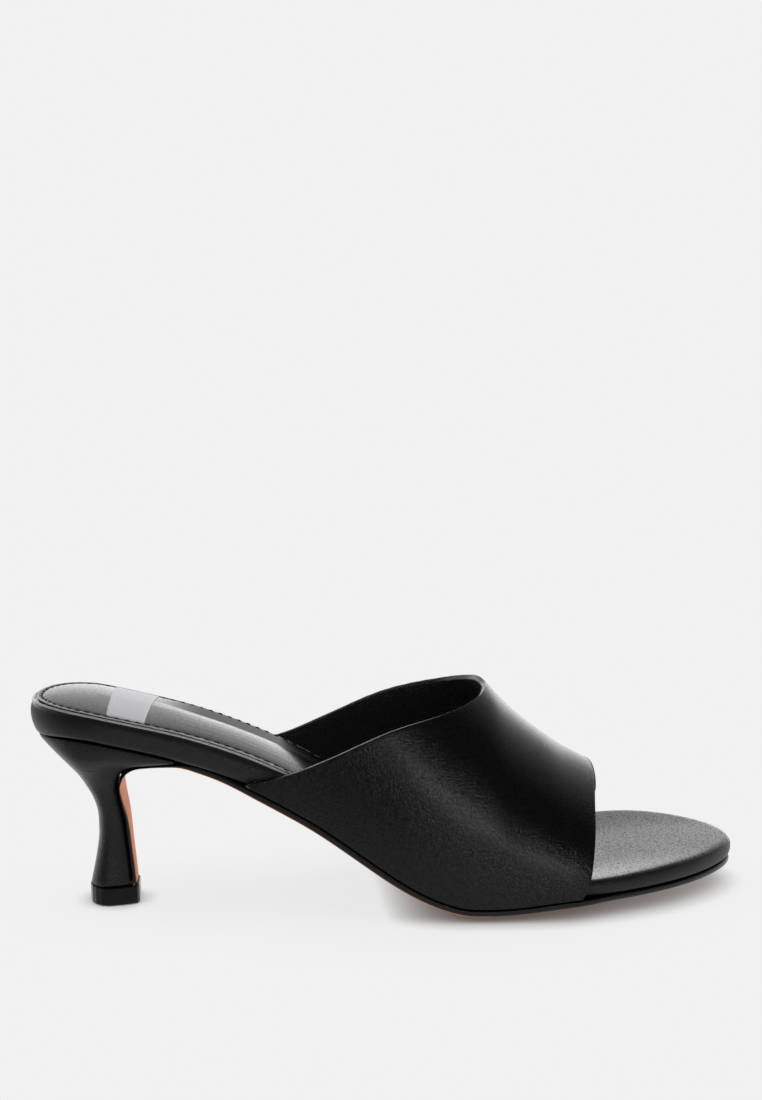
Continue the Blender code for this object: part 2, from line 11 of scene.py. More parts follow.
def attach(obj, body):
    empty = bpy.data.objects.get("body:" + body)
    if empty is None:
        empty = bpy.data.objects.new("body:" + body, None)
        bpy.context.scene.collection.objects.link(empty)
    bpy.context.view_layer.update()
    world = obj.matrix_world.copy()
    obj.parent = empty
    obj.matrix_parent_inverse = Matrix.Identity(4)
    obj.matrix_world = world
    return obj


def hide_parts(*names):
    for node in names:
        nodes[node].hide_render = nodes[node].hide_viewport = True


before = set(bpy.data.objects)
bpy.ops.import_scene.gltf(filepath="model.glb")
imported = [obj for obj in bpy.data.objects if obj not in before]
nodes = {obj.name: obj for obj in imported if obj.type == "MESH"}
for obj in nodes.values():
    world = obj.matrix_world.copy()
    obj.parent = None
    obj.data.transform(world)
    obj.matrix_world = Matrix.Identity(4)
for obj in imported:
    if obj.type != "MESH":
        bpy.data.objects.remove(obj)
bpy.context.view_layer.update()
print("frame loaded:", ", ".join(sorted(nodes)))


def deselectAll():
    if bpy.context.object and bpy.context.object.mode != "OBJECT":
        bpy.ops.object.mode_set(mode="OBJECT")
    bpy.ops.object.select_all(action="DESELECT")


def makeActive(piece):
    deselectAll()
    piece.select_set(True)
    bpy.context.view_layer.objects.active = piece


def applyModifier(piece, kind, name, **settings):
    makeActive(piece)
    modifier = piece.modifiers.new(name, kind)
    for key, value in settings.items():
        setattr(modifier, key, value)
    bpy.ops.object.modifier_apply(modifier=name)


def subdivideSmooth(piece, levels):
    applyModifier(piece, "SUBSURF", "round", levels=levels, render_levels=levels)


def dressedCopy(nodeName, pieceName, crease=0.0, creaseAngle=48):
    # A copy of a solid, its loose triangles joined again into a grid of quads.
    source = nodes[nodeName]
    piece = bpy.data.objects.new(pieceName, source.data.copy())
    bpy.context.scene.collection.objects.link(piece)
    piece.data.name = pieceName
    piece.data.materials.clear()
    makeActive(piece)
    if piece.data.has_custom_normals:
        bpy.ops.mesh.customdata_custom_splitnormals_clear()
    bpy.ops.object.mode_set(mode="EDIT")
    bpy.ops.mesh.select_all(action="SELECT")
    bpy.ops.mesh.remove_doubles(threshold=0.00002)
    bpy.ops.mesh.tris_convert_to_quads(face_threshold=math.radians(60), shape_threshold=math.radians(60))
    if crease > 0:
        bpy.ops.mesh.select_mode(type="EDGE")
        bpy.ops.mesh.select_all(action="DESELECT")
        bpy.ops.mesh.edges_select_sharp(sharpness=math.radians(creaseAngle))
        bpy.ops.transform.edge_crease(value=crease)
    bpy.ops.object.mode_set(mode="OBJECT")
    return piece


def pointsOf(piece):
    co = np.zeros(len(piece.data.vertices) * 3)
    piece.data.vertices.foreach_get("co", co)
    return co.reshape(-1, 3)


def normalsOf(piece):
    normals = np.zeros(len(piece.data.vertices) * 3)
    piece.data.vertices.foreach_get("normal", normals)
    return normals.reshape(-1, 3)


def setPoints(piece, points):
    piece.data.vertices.foreach_set("co", points.ravel())
    piece.data.update()


def paintAttribute(piece, name, values):
    layer = piece.data.attributes.new(name, "FLOAT", "POINT")
    layer.data.foreach_set("value", np.asarray(values, dtype=np.float32))


def finishPiece(piece, material, replaced=None, angle=40):
    # Shades, paints and hangs a finished piece on the shoe's one body.
    makeActive(piece)
    bpy.ops.object.shade_smooth_by_angle(angle=math.radians(angle))
    piece.data.materials.clear()
    piece.data.materials.append(material)
    if replaced:
        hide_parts(replaced)
    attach(piece, "root")
    print("piece:", piece.name, len(piece.data.polygons), "faces")


def treeOf(piece):
    return BVHTree.FromPolygons([v.co for v in piece.data.vertices],
                                [tuple(p.vertices) for p in piece.data.polygons])


def group(name, inputs, outputs):
    tree = bpy.data.node_groups.new(name, "ShaderNodeTree")
    for label, kind, value in inputs:
        socket = tree.interface.new_socket(label, in_out="INPUT", socket_type=kind)
        if value is not None:
            socket.default_value = value
    for label, kind in outputs:
        tree.interface.new_socket(label, in_out="OUTPUT", socket_type=kind)
    return tree, tree.nodes.new("NodeGroupInput"), tree.nodes.new("NodeGroupOutput")


def mathNode(tree, operation, *values, clamp=False):
    node = tree.nodes.new("ShaderNodeMath")
    node.operation = operation
    node.use_clamp = clamp
    for index, value in enumerate(values):
        if hasattr(value, "is_linked"):
            tree.links.new(value, node.inputs[index])
        else:
            node.inputs[index].default_value = value
    return node.outputs[0]


def rangeNode(tree, value, low, high, newLow, newHigh):
    node = tree.nodes.new("ShaderNodeMapRange")
    for index, given in enumerate((value, low, high, newLow, newHigh)):
        if hasattr(given, "is_linked"):
            tree.links.new(given, node.inputs[index])
        else:
            node.inputs[index].default_value = given
    return node.outputs[0]


def mixColour(tree, factor, first, second):
    node = tree.nodes.new("ShaderNodeMix")
    node.data_type = "RGBA"
    for socket, given in ((node.inputs[0], factor), (node.inputs[6], first), (node.inputs[7], second)):
        if hasattr(given, "is_linked"):
            tree.links.new(given, socket)
        else:
            socket.default_value = given
    return node.outputs[2]


def noiseNode(tree, vector, scale, detail=3.0, roughness=0.55):
    node = tree.nodes.new("ShaderNodeTexNoise")
    node.inputs["Detail"].default_value = detail
    node.inputs["Roughness"].default_value = roughness
    tree.links.new(vector, node.inputs["Vector"])
    if hasattr(scale, "is_linked"):
        tree.links.new(scale, node.inputs["Scale"])
    else:
        node.inputs["Scale"].default_value = scale
    return node.outputs[0]


def makeGrainGroup():
    # Leather grain: small rounded pebbles with creases between them, and finer pores.
    tree, given, out = group(
        "leatherGrain",
        [("Vector", "NodeSocketVector", None), ("Scale", "NodeSocketFloat", 1100.0),
         ("Pores", "NodeSocketFloat", 0.35)],
        [("Height", "NodeSocketFloat"), ("Crease", "NodeSocketFloat")])
    cells = tree.nodes.new("ShaderNodeTexVoronoi")
    cells.feature = "SMOOTH_F1"
    cells.inputs["Smoothness"].default_value = 0.35
    cells.inputs["Randomness"].default_value = 1.0
    tree.links.new(given.outputs["Vector"], cells.inputs["Vector"])
    tree.links.new(given.outputs["Scale"], cells.inputs["Scale"])
    dome = mathNode(tree, "SUBTRACT", 1.0, cells.outputs["Distance"], clamp=True)
    finer = mathNode(tree, "MULTIPLY", given.outputs["Scale"], 2.3)
    pores = noiseNode(tree, given.outputs["Vector"], finer, 2.0)
    height = mathNode(tree, "ADD", dome, mathNode(tree, "MULTIPLY", pores, given.outputs["Pores"]))
    tree.links.new(height, out.inputs["Height"])
    crease = rangeNode(tree, cells.outputs["Distance"], 0.35, 0.75, 0.0, 1.0)
    tree.links.new(crease, out.inputs["Crease"])
    return tree


def makeWearGroup():
    # Broad soft patches where the finish is a little duller or shinier.
    tree, given, out = group(
        "softPatches",
        [("Vector", "NodeSocketVector", None), ("Scale", "NodeSocketFloat", 45.0)],
        [("Patch", "NodeSocketFloat")])
    broad = noiseNode(tree, given.outputs["Vector"], given.outputs["Scale"], 2.0)
    tree.links.new(rangeNode(tree, broad, 0.3, 0.7, 0.0, 1.0), out.inputs["Patch"])
    return tree


def makeWeaveGroup():
    # A twill: raised dots in slanting rows, over two running coordinates in threads.
    tree, given, out = group(
        "twillWeave",
        [("Across", "NodeSocketFloat", 0.0), ("Along", "NodeSocketFloat", 0.0)],
        [("Height", "NodeSocketFloat"), ("Dot", "NodeSocketFloat")])
    first = mathNode(tree, "SINE", mathNode(tree, "MULTIPLY", given.outputs["Across"], math.tau))
    second = mathNode(tree, "SINE", mathNode(tree, "MULTIPLY", given.outputs["Along"], math.tau))
    both = mathNode(tree, "MULTIPLY_ADD", mathNode(tree, "MULTIPLY", first, second), 0.5, 0.5)
    tree.links.new(both, out.inputs["Height"])
    tree.links.new(rangeNode(tree, both, 0.45, 0.85, 0.0, 1.0), out.inputs["Dot"])
    return tree


grainGroup = makeGrainGroup()
patchGroup = makeWearGroup()
weaveGroup = makeWeaveGroup()


def newMaterial(name):
    material = bpy.data.materials.new(name)
    material.use_nodes = True
    tree = material.node_tree
    shader = tree.nodes["Principled BSDF"]
    place = tree.nodes.new("ShaderNodeTexCoord").outputs["Object"]
    return material, tree, shader, place


def useGroup(tree, groupTree, **values):
    node = tree.nodes.new("ShaderNodeGroup")
    node.node_tree = groupTree
    for key, value in values.items():
        if hasattr(value, "is_linked"):
            tree.links.new(value, node.inputs[key])
        else:
            node.inputs[key].default_value = value
    return node


def addBump(tree, shader, height, strength, distance):
    bump = tree.nodes.new("ShaderNodeBump")
    bump.inputs["Strength"].default_value = strength
    bump.inputs["Distance"].default_value = distance
    tree.links.new(height, bump.inputs["Height"])
    tree.links.new(bump.outputs["Normal"], shader.inputs["Normal"])


def leatherMaterial(name, look, duller=None, paleEdge=None):
    # Black leather: pebbled bump, glossier domes, painted shade in the creases, roughness in soft
    # patches.
    material, tree, shader, place = newMaterial(name)
    grain = useGroup(tree, grainGroup, Vector=place, Scale=look["grainScale"], Pores=look["pores"])
    patch = useGroup(tree, patchGroup, Vector=place, Scale=look["patchScale"])
    # painted shade: the creases between the pebbles are coloured darker than the domes
    colour = mixColour(tree, grain.outputs["Crease"], look["colour"], look["paintedCreaseShade"])
    # a pale colour where the attribute marks it: on the upper a painted highlight along the topline, on
    # the sock the cut edge's own pale colour
    if paleEdge:
        cut = tree.nodes.new("ShaderNodeAttribute")
        cut.attribute_name = paleEdge
        colour = mixColour(tree, cut.outputs["Fac"], colour, look["paleEdgeColour"])
    tree.links.new(colour, shader.inputs["Base Color"])
    rough = rangeNode(tree, patch.outputs["Patch"], 0.0, 1.0, look["rough"][0], look["rough"][1])
    coat = rangeNode(tree, grain.outputs["Crease"], 0.0, 1.0, look["coat"], look["coat"] * 0.1)
    if duller:
        mask = tree.nodes.new("ShaderNodeAttribute")
        mask.attribute_name = duller
        rough = mathNode(tree, "MULTIPLY_ADD", mask.outputs["Fac"], look["sideDull"], rough)
        polished = mathNode(tree, "SUBTRACT", 1.0, mask.outputs["Fac"], clamp=True)
        coat = mathNode(tree, "MULTIPLY", coat, polished)
    tree.links.new(rough, shader.inputs["Roughness"])
    shader.inputs["Specular IOR Level"].default_value = look["specular"]
    if look["coat"] > 0:
        tree.links.new(coat, shader.inputs["Coat Weight"])
    shader.inputs["Coat Roughness"].default_value = look["coatRough"]
    addBump(tree, shader, grain.outputs["Height"], look["bump"], look["depth"])
    return material


upperLook = {
    "grainScale": 1650.0, "pores": 0.30, "patchScale": 38.0,
    "colour": (0.0060, 0.0058, 0.0060, 1), "paintedCreaseShade": (0.0015, 0.0015, 0.0015, 1),
    "rough": (0.20, 0.25), "specular": 0.20, "coat": 0.13, "coatRough": 0.19,
    # the pale edge colour here is a painted highlight along the topline's cut edge
    "bump": 0.5, "depth": 0.00017, "paleEdgeColour": (0.22, 0.22, 0.23, 1),
}
footbedLook = {
    "grainScale": 1500.0, "pores": 0.4, "patchScale": 30.0,
    "colour": (0.0042, 0.0040, 0.0042, 1), "paintedCreaseShade": (0.0025, 0.0025, 0.0025, 1),
    "rough": (0.28, 0.34), "sideDull": 0.20, "specular": 0.42, "coat": 1.0, "coatRough": 0.24,
    "bump": 0.24, "depth": 0.00022,
}
heelLook = {
    "grainScale": 1200.0, "pores": 0.6, "patchScale": 60.0,
    "colour": (0.0050, 0.0048, 0.0048, 1), "paintedCreaseShade": (0.0015, 0.0015, 0.0015, 1),
    "rough": (0.40, 0.48), "specular": 0.28, "coat": 0.0, "coatRough": 0.3,
    "bump": 0.45, "depth": 0.00022,
}
sockLook = {
    "grainScale": 1400.0, "pores": 0.5, "patchScale": 25.0,
    "colour": (0.0045, 0.0045, 0.0048, 1), "paintedCreaseShade": (0.003, 0.003, 0.003, 1),
    "rough": (0.24, 0.30), "sideDull": 0.22, "specular": 0.45, "coat": 0.28, "coatRough": 0.12,
    "bump": 0.09, "depth": 0.0001, "paleEdgeColour": (0.88, 0.88, 0.90, 1),
}
# painted highlight: the bead is coloured light grey so that its top reads as a bright line
beadHighlightLook = {
    "grainScale": 1500.0, "pores": 0.3, "patchScale": 60.0,
    "colour": (0.45, 0.45, 0.46, 1), "paintedCreaseShade": (0.38, 0.38, 0.39, 1),
    "rough": (0.20, 0.26), "specular": 0.8, "coat": 0.2, "coatRough": 0.15,
    "bump": 0.08, "depth": 0.0001,
}


def makeLiningMaterial():
    look = {"pitch": 0.00105, "colour": (0.003, 0.003, 0.003, 1), "dotColour": (0.15, 0.145, 0.145, 1),
            "rough": 0.75, "specular": 0.3, "sheen": 0.05}
    material, tree, shader, place = newMaterial("wovenLining")
    flat = tree.nodes.new("ShaderNodeUVMap")
    flat.uv_map = "liningMap"
    split = tree.nodes.new("ShaderNodeSeparateXYZ")
    tree.links.new(flat.outputs["UV"], split.inputs[0])
    across = mathNode(tree, "DIVIDE", split.outputs["X"], look["pitch"])
    along = mathNode(tree, "DIVIDE", split.outputs["Y"], look["pitch"])
    weave = useGroup(tree, weaveGroup, Across=across, Along=along)
    colour = mixColour(tree, weave.outputs["Dot"], look["colour"], look["dotColour"])
    tree.links.new(colour, shader.inputs["Base Color"])
    shader.inputs["Roughness"].default_value = look["rough"]
    shader.inputs["Specular IOR Level"].default_value = look["specular"]
    shader.inputs["Sheen Weight"].default_value = look["sheen"]
    addBump(tree, shader, weave.outputs["Height"], 0.7, 0.0003)
    return material


def makeOutsoleMaterial():
    # Natural leather below, black paint on the edges by the piece's own attribute.
    look = {"tan": (0.74, 0.27, 0.08, 1), "tanDark": (0.62, 0.21, 0.06, 1),
            "paint": (0.007, 0.007, 0.007, 1), "rough": (0.62, 0.36), "specular": 0.22}
    material, tree, shader, place = newMaterial("soleLeather")
    painted = tree.nodes.new("ShaderNodeAttribute")
    painted.attribute_name = "painted"
    mask = painted.outputs["Fac"]
    fibre = noiseNode(tree, place, 500.0, 4.0)
    tan = mixColour(tree, fibre, look["tan"], look["tanDark"])
    colour = mixColour(tree, mask, tan, look["paint"])
    tree.links.new(colour, shader.inputs["Base Color"])
    rough = rangeNode(tree, mask, 0.0, 1.0, look["rough"][0], look["rough"][1])
    tree.links.new(rough, shader.inputs["Roughness"])
    shader.inputs["Specular IOR Level"].default_value = look["specular"]
    addBump(tree, shader, fibre, 0.15, 0.00015)
    return material


def makeTopPieceMaterial():
    look = {"colour": (0.003, 0.003, 0.003, 1), "specular": 0.14, "rough": (0.20, 0.28)}
    material, tree, shader, place = newMaterial("topPiecePlastic")
    patch = useGroup(tree, patchGroup, Vector=place, Scale=160.0)
    scratch = noiseNode(tree, place, 2600.0, 2.0)
    shader.inputs["Base Color"].default_value = look["colour"]
    shader.inputs["Specular IOR Level"].default_value = look["specular"]
    rough = rangeNode(tree, patch.outputs["Patch"], 0.0, 1.0, look["rough"][0], look["rough"][1])
    tree.links.new(rough, shader.inputs["Roughness"])
    addBump(tree, shader, scratch, 0.05, 0.0001)
    return material


def makeThreadMaterial():
    material, tree, shader, place = newMaterial("blackThread")
    twist = noiseNode(tree, place, 4000.0, 2.0)
    tree.links.new(mixColour(tree, twist, (0.004, 0.004, 0.004, 1), (0.012, 0.012, 0.012, 1)),
                   shader.inputs["Base Color"])
    shader.inputs["Roughness"].default_value = 0.6
    addBump(tree, shader, twist, 0.3, 0.0001)
    return material


def makeLabelMaterial():
    look = {"colour": (0.93, 0.93, 0.96, 1), "shade": (0.82, 0.82, 0.86, 1), "pitch": 0.00045,
            "rough": 0.45, "metallic": 0.35}
    material, tree, shader, place = newMaterial("silverRibbon")
    split = tree.nodes.new("ShaderNodeSeparateXYZ")
    tree.links.new(place, split.inputs[0])
    across = mathNode(tree, "DIVIDE", split.outputs["X"], look["pitch"])
    along = mathNode(tree, "DIVIDE", split.outputs["Y"], look["pitch"])
    weave = useGroup(tree, weaveGroup, Across=across, Along=along)
    colour = mixColour(tree, weave.outputs["Dot"], look["shade"], look["colour"])
    tree.links.new(colour, shader.inputs["Base Color"])
    shader.inputs["Roughness"].default_value = look["rough"]
    shader.inputs["Metallic"].default_value = look["metallic"]
    addBump(tree, shader, weave.outputs["Height"], 0.3, 0.0001)
    return material


upperLeather = leatherMaterial("upperLeather", upperLook, paleEdge="cutEdge")
footbedLeather = leatherMaterial("footbedLeather", footbedLook, "upright")
heelLeather = leatherMaterial("heelLeather", heelLook)
sockLeather = leatherMaterial("sockLeather", sockLook, "pressedEdge", "cutEdge")
beadPaintedHighlight = leatherMaterial("beadPaintedHighlight", beadHighlightLook)
liningCloth = makeLiningMaterial()
soleLeather = makeOutsoleMaterial()
topPiecePlastic = makeTopPieceMaterial()
blackThread = makeThreadMaterial()
silverRibbon = makeLabelMaterial()
print("materials made")


upperShape = {"leatherShare": 0.68, "rimCrease": 0.45, "levels": 2}


def tunnelAxis(x):
    # Height of a line that runs along the foot inside the band.
    return 0.0570 - 0.36 * (x - 0.045) if x < 0.165 else 0.0138


def splitUpper():
    # The wall is parted into leather outside and lining inside, which meet at the cut edges.
    wall = dressedCopy("upper", "wall")
    mesh = wall.data
    outside = []
    inside = []
    for face in mesh.polygons:
        out = Vector((0, face.center.y - 0.002, face.center.z - tunnelAxis(face.center.x)))
        facing = face.normal.dot(out.normalized())
        if facing > 0.35:
            outside.append(face.index)
        elif facing < -0.35:
            inside.append(face.index)
    print("wall faces outside, inside, rim:", len(outside), len(inside),
          len(mesh.polygons) - len(outside) - len(inside))
    return wall, set(outside), set(inside)


def keepFaces(piece, keep):
    makeActive(piece)
    bpy.ops.object.mode_set(mode="EDIT")
    bpy.ops.mesh.select_mode(type="FACE")
    bpy.ops.mesh.select_all(action="DESELECT")
    bpy.ops.object.mode_set(mode="OBJECT")
    for face in piece.data.polygons:
        face.select = face.index not in keep
    bpy.ops.object.mode_set(mode="EDIT")
    bpy.ops.mesh.delete(type="FACE")
    bpy.ops.object.mode_set(mode="OBJECT")


def makeUpper():
    wall, outside, inside = splitUpper()
    keepFaces(wall, inside)
    lining = wall
    lining.name = "upperLining"
    leather = dressedCopy("upper", "upperBand", crease=upperShape["rimCrease"])
    subdivideSmooth(leather, upperShape["levels"])
    # painted highlight: the cut edge of the topline, which faces back and up, is coloured paler than the
    # surface
    normals = normalsOf(leather)
    points = pointsOf(leather)
    axis = np.array([tunnelAxis(x) for x in points[:, 0]])
    out = np.stack((points[:, 1] - 0.002, points[:, 2] - axis), axis=1)
    out /= np.linalg.norm(out, axis=1)[:, None]
    facing = np.abs(normals[:, 1] * out[:, 0] + normals[:, 2] * out[:, 1])
    rimHighlight = np.clip((0.80 - facing) / 0.2, 0, 1) * np.clip((-normals[:, 0] - 0.35) / 0.2, 0, 1)
    paintAttribute(leather, "cutEdge", rimHighlight)
    finishPiece(leather, upperLeather, "upper", angle=60)
    # the lining lies a hair inside the wall's inner face
    subdivideSmooth(lining, upperShape["levels"])
    points = pointsOf(lining)
    points += normalsOf(lining) * 0.00025
    setPoints(lining, points)
    applyModifier(lining, "SOLIDIFY", "thickness", thickness=0.0002, offset=-1.0)
    uvs = lining.data.uv_layers.new(name="liningMap")
    for loop in lining.data.loops:
        x, y, z = lining.data.vertices[loop.vertex_index].co
        turn = math.atan2(z - tunnelAxis(x), y - 0.002)
        uvs.data[loop.index].uv = (x, turn * 0.031)
    finishPiece(lining, liningCloth, angle=60)


makeUpper()


def makeFootbed():
    footbed = dressedCopy("footbed", "wrappedFootbed")
    subdivideSmooth(footbed, 2)
    paintAttribute(footbed, "upright", np.clip(1.9 - 2.6 * normalsOf(footbed)[:, 2], 0, 1))
    finishPiece(footbed, footbedLeather, "footbed", angle=60)
    return footbed


def makeHeel():
    heel = dressedCopy("heel", "coveredHeel", crease=0.6)
    subdivideSmooth(heel, 2)
    finishPiece(heel, heelLeather, "heel", angle=50)


soleShape = {"flapEnd": 0.022, "archEnd": 0.120, "edgeEnd": 0.150, "flap": 0.94, "arch": 0.62,
             "ball": 0.85, "blend": 0.12}


def makeOutsole():
    outsole = dressedCopy("outsole", "leatherSole", crease=0.35)
    subdivideSmooth(outsole, 2)
    normals = normalsOf(outsole)
    points = pointsOf(outsole)
    # natural leather shows below, on the lower edge of the arch and down the heel's front
    below = np.hypot(np.clip(normals[:, 0], 0, 1), np.clip(-normals[:, 2], 0, 1))
    below = np.where(normals[:, 2] > 0.25, 0, below)
    least = np.where(points[:, 0] < soleShape["archEnd"], soleShape["arch"], soleShape["ball"])
    least = np.where(points[:, 0] < soleShape["flapEnd"], soleShape["flap"], least)
    under = np.where(points[:, 0] > soleShape["edgeEnd"], -normals[:, 2], below)
    paint = (least + soleShape["blend"] / 2 - under) / soleShape["blend"]
    paintAttribute(outsole, "painted", np.clip(paint, 0, 1))
    finishPiece(outsole, soleLeather, "outsole", angle=50)


def makeTopPiece():
    topPiece = nodes["top_piece"]
    topPiece.data.materials.clear()
    topPiece.data.materials.append(topPiecePlastic)


footbed = makeFootbed()
makeHeel()
makeOutsole()
makeTopPiece()


sockShape = {
    "stitchInset": 0.0015, "grooveWidth": 0.0005, "grooveDepth": 0.00012,
    "puff": 0.0020, "puffWidth": 0.0105, "marginRise": 0.06, "dimple": 0.00012, "dimpleWidth": 0.0009,
    "section": ((0, 0.0), (0.05, 0.00045), (0.1, 0.0008), (0.2, 0.00125), (0.3, 0.0015), (0.4, 0.0016),
                (0.5, 0.0015), (0.58, 0.00122), (0.65, 0.0009), (0.675, 0.00052), (0.70, 0.0004),
                (1, 0.0004)),
    "stripStart": 0.655, "stripBlend": 0.02, "cutWidth": 0.00055,
    "seatCentre": (-0.0012, 0.0), "endX": 0.094,
}
beadShape = {"outset": 0.0012, "radius": 0.00060, "flat": 0.55, "rise": 0.00030}
stitchShape = {"pitch": 0.0031, "length": 0.0021, "thick": 0.00075, "rise": 0.00008}
labelShape = {"nearX": (-0.0002, 0.0115), "farX": (0.0007, 0.0148), "halfWidth": 0.0207, "thick": 0.00022}


def outlineOf(piece, step=0.0015):
    # The piece's outline from above: along the outer side, round the seat, back along the inner side.
    mesh = piece.data
    points = pointsOf(piece)
    edges = np.zeros(len(mesh.edges) * 2, dtype=np.int64)
    mesh.edges.foreach_get("vertices", edges)
    starts = points[edges.reshape(-1, 2)[:, 0]]
    ends = points[edges.reshape(-1, 2)[:, 1]]
    cx, cy = sockShape["seatCentre"]

    def crossings(x):
        hit = (starts[:, 0] - x) * (ends[:, 0] - x) < 0
        t = (x - starts[hit, 0]) / (ends[hit, 0] - starts[hit, 0])
        return starts[hit, 1] + t * (ends[hit, 1] - starts[hit, 1])

    def farthest(turn):
        away = np.array((math.cos(turn), math.sin(turn)))
        beside = np.array((-away[1], away[0]))
        a = (starts[:, :2] - (cx, cy)) @ beside
        b = (ends[:, :2] - (cx, cy)) @ beside
        hit = a * b < 0
        t = a[hit] / (a[hit] - b[hit])
        spot = starts[hit, :2] + t[:, None] * (ends[hit, :2] - starts[hit, :2])
        return float(np.max((spot - (cx, cy)) @ away))

    count = int((sockShape["endX"] - cx) / step)
    stations = [sockShape["endX"] - (sockShape["endX"] - cx) * k / count for k in range(count)]
    path = [(x, float(crossings(x).min())) for x in stations]
    turns = 48
    for k in range(turns + 1):
        turn = -math.pi / 2 - math.pi * k / turns
        reach = farthest(turn + 1e-5)
        path.append((cx + reach * math.cos(turn), cy + reach * math.sin(turn)))
    path += [(x, float(crossings(x).max())) for x in stations[::-1]]
    return np.array(path)


def insetPath(path, distance):
    ahead = np.gradient(path, axis=0)
    ahead /= np.linalg.norm(ahead, axis=1)[:, None]
    inward = np.stack((ahead[:, 1], -ahead[:, 0]), axis=1)
    return path + inward * distance


def evenSpots(path, pitch):
    # Points and directions at an even spacing along a path.
    steps = np.linalg.norm(np.diff(path, axis=0), axis=1)
    run = np.concatenate(((0,), np.cumsum(steps)))
    count = int(run[-1] / pitch)
    spots = (np.arange(count) + 0.5) * run[-1] / count
    x = np.interp(spots, run, path[:, 0])
    y = np.interp(spots, run, path[:, 1])
    nearX = np.interp(spots + 0.0004, run, path[:, 0])
    nearY = np.interp(spots + 0.0004, run, path[:, 1])
    return [(x[k], y[k], math.atan2(nearY[k] - y[k], nearX[k] - x[k])) for k in range(count)]


def distanceTo(points, path):
    nearest = np.full(len(points), 1.0)
    for start, end in zip(path, path[1:]):
        line = end - start
        t = np.clip(((points - start) @ line) / (line @ line), 0, 1)
        nearest = np.minimum(nearest, np.linalg.norm(points - start - t[:, None] * line, axis=1))
    return nearest


def topAt(tree, x, y):
    hit = tree.ray_cast(Vector((x, y, 0.2)), Vector((0, 0, -1)))
    return hit[0].z, hit[1]


def bandsAcross(path, tree):
    # Height and side place of the seam at a row of stations, near side and far side.
    turnBack = int(np.argmin(path[:, 0]))
    rows = []
    for side in (path[:turnBack + 1][::-1], path[turnBack:]):
        heights = np.array([topAt(tree, x, y)[0] for x, y in side])
        rows.append((side[:, 0], side[:, 1], heights))
    return rows


def smoothTable(share, shares, heights):
    # A table read with rounded corners, as the mean of three nearby readings.
    spread = 0.008
    return sum(np.interp(share + step, shares, heights) for step in (-spread, 0, spread)) / 3


def makeSock():
    sock = dressedCopy("sock", "paddedSock", crease=0.3)
    rim = outlineOf(sock)
    seam = insetPath(rim, sockShape["stitchInset"])
    subdivideSmooth(sock, 3)
    near, far = bandsAcross(seam, treeOf(sock))
    points = pointsOf(sock)
    x, y, z = points.T
    away = distanceTo(points[:, :2], seam)
    groove = np.exp(-(away / sockShape["grooveWidth"]) ** 2)
    within = distanceTo(points[:, :2], rim) > sockShape["stitchInset"]
    nearY = np.interp(x, near[0], near[1])
    farY = np.interp(x, far[0], far[1])
    across = np.clip((y - nearY) / np.maximum(farY - nearY, 0.001), 0, 1)
    level = (1 - across) * np.interp(x, near[0], near[2]) + across * np.interp(x, far[0], far[2])
    # a pad that swells from the seam; ahead of the label its far side ends in a crease and a flat strip
    pad = sockShape["puff"] * (1 - np.exp(-away / sockShape["puffWidth"]))
    shares, heights = zip(*sockShape["section"])
    ahead = np.clip((x - 0.010) / 0.022, 0, 1)
    ahead = ahead * ahead * (3 - 2 * ahead)
    swell = (1 - ahead) * pad + ahead * smoothTable(across, shares, heights)
    # outside the seam a level margin runs to the cut edge
    margin = level + away * sockShape["marginRise"]
    top = normalsOf(sock)[:, 2] > 0.35
    spots = np.array([spot[:2] for spot in evenSpots(seam, stitchShape["pitch"])])
    nearest = np.min(np.hypot(x[:, None] - spots[:, 0], y[:, None] - spots[:, 1]), axis=1)
    dimples = sockShape["dimple"] * np.exp(-(nearest / sockShape["dimpleWidth"]) ** 2)
    sunk = groove * sockShape["grooveDepth"] + dimples
    raised = np.where(within, level + swell, margin) - sunk
    points[:, 2] = np.where(top, raised, z)
    # the cut edge is pale, and the strip and the margin are pressed flat and duller than the pad
    fromRim = distanceTo(points[:, :2], rim)
    upright = np.clip(1.6 - 4 * np.abs(normalsOf(sock)[:, 2]), 0, 1)
    besideRim = np.clip((sockShape["cutWidth"] - fromRim) / 0.0002, 0, 1)
    paintAttribute(sock, "cutEdge", np.maximum(upright, besideRim))
    strip = ahead * np.clip((across - sockShape["stripStart"]) / sockShape["stripBlend"], 0, 1)
    paintAttribute(sock, "pressedEdge", np.maximum(strip, np.where(within, 0, 0.6)))
    setPoints(sock, points)
    finishPiece(sock, sockLeather, "sock", angle=60)
    return sock, rim, seam


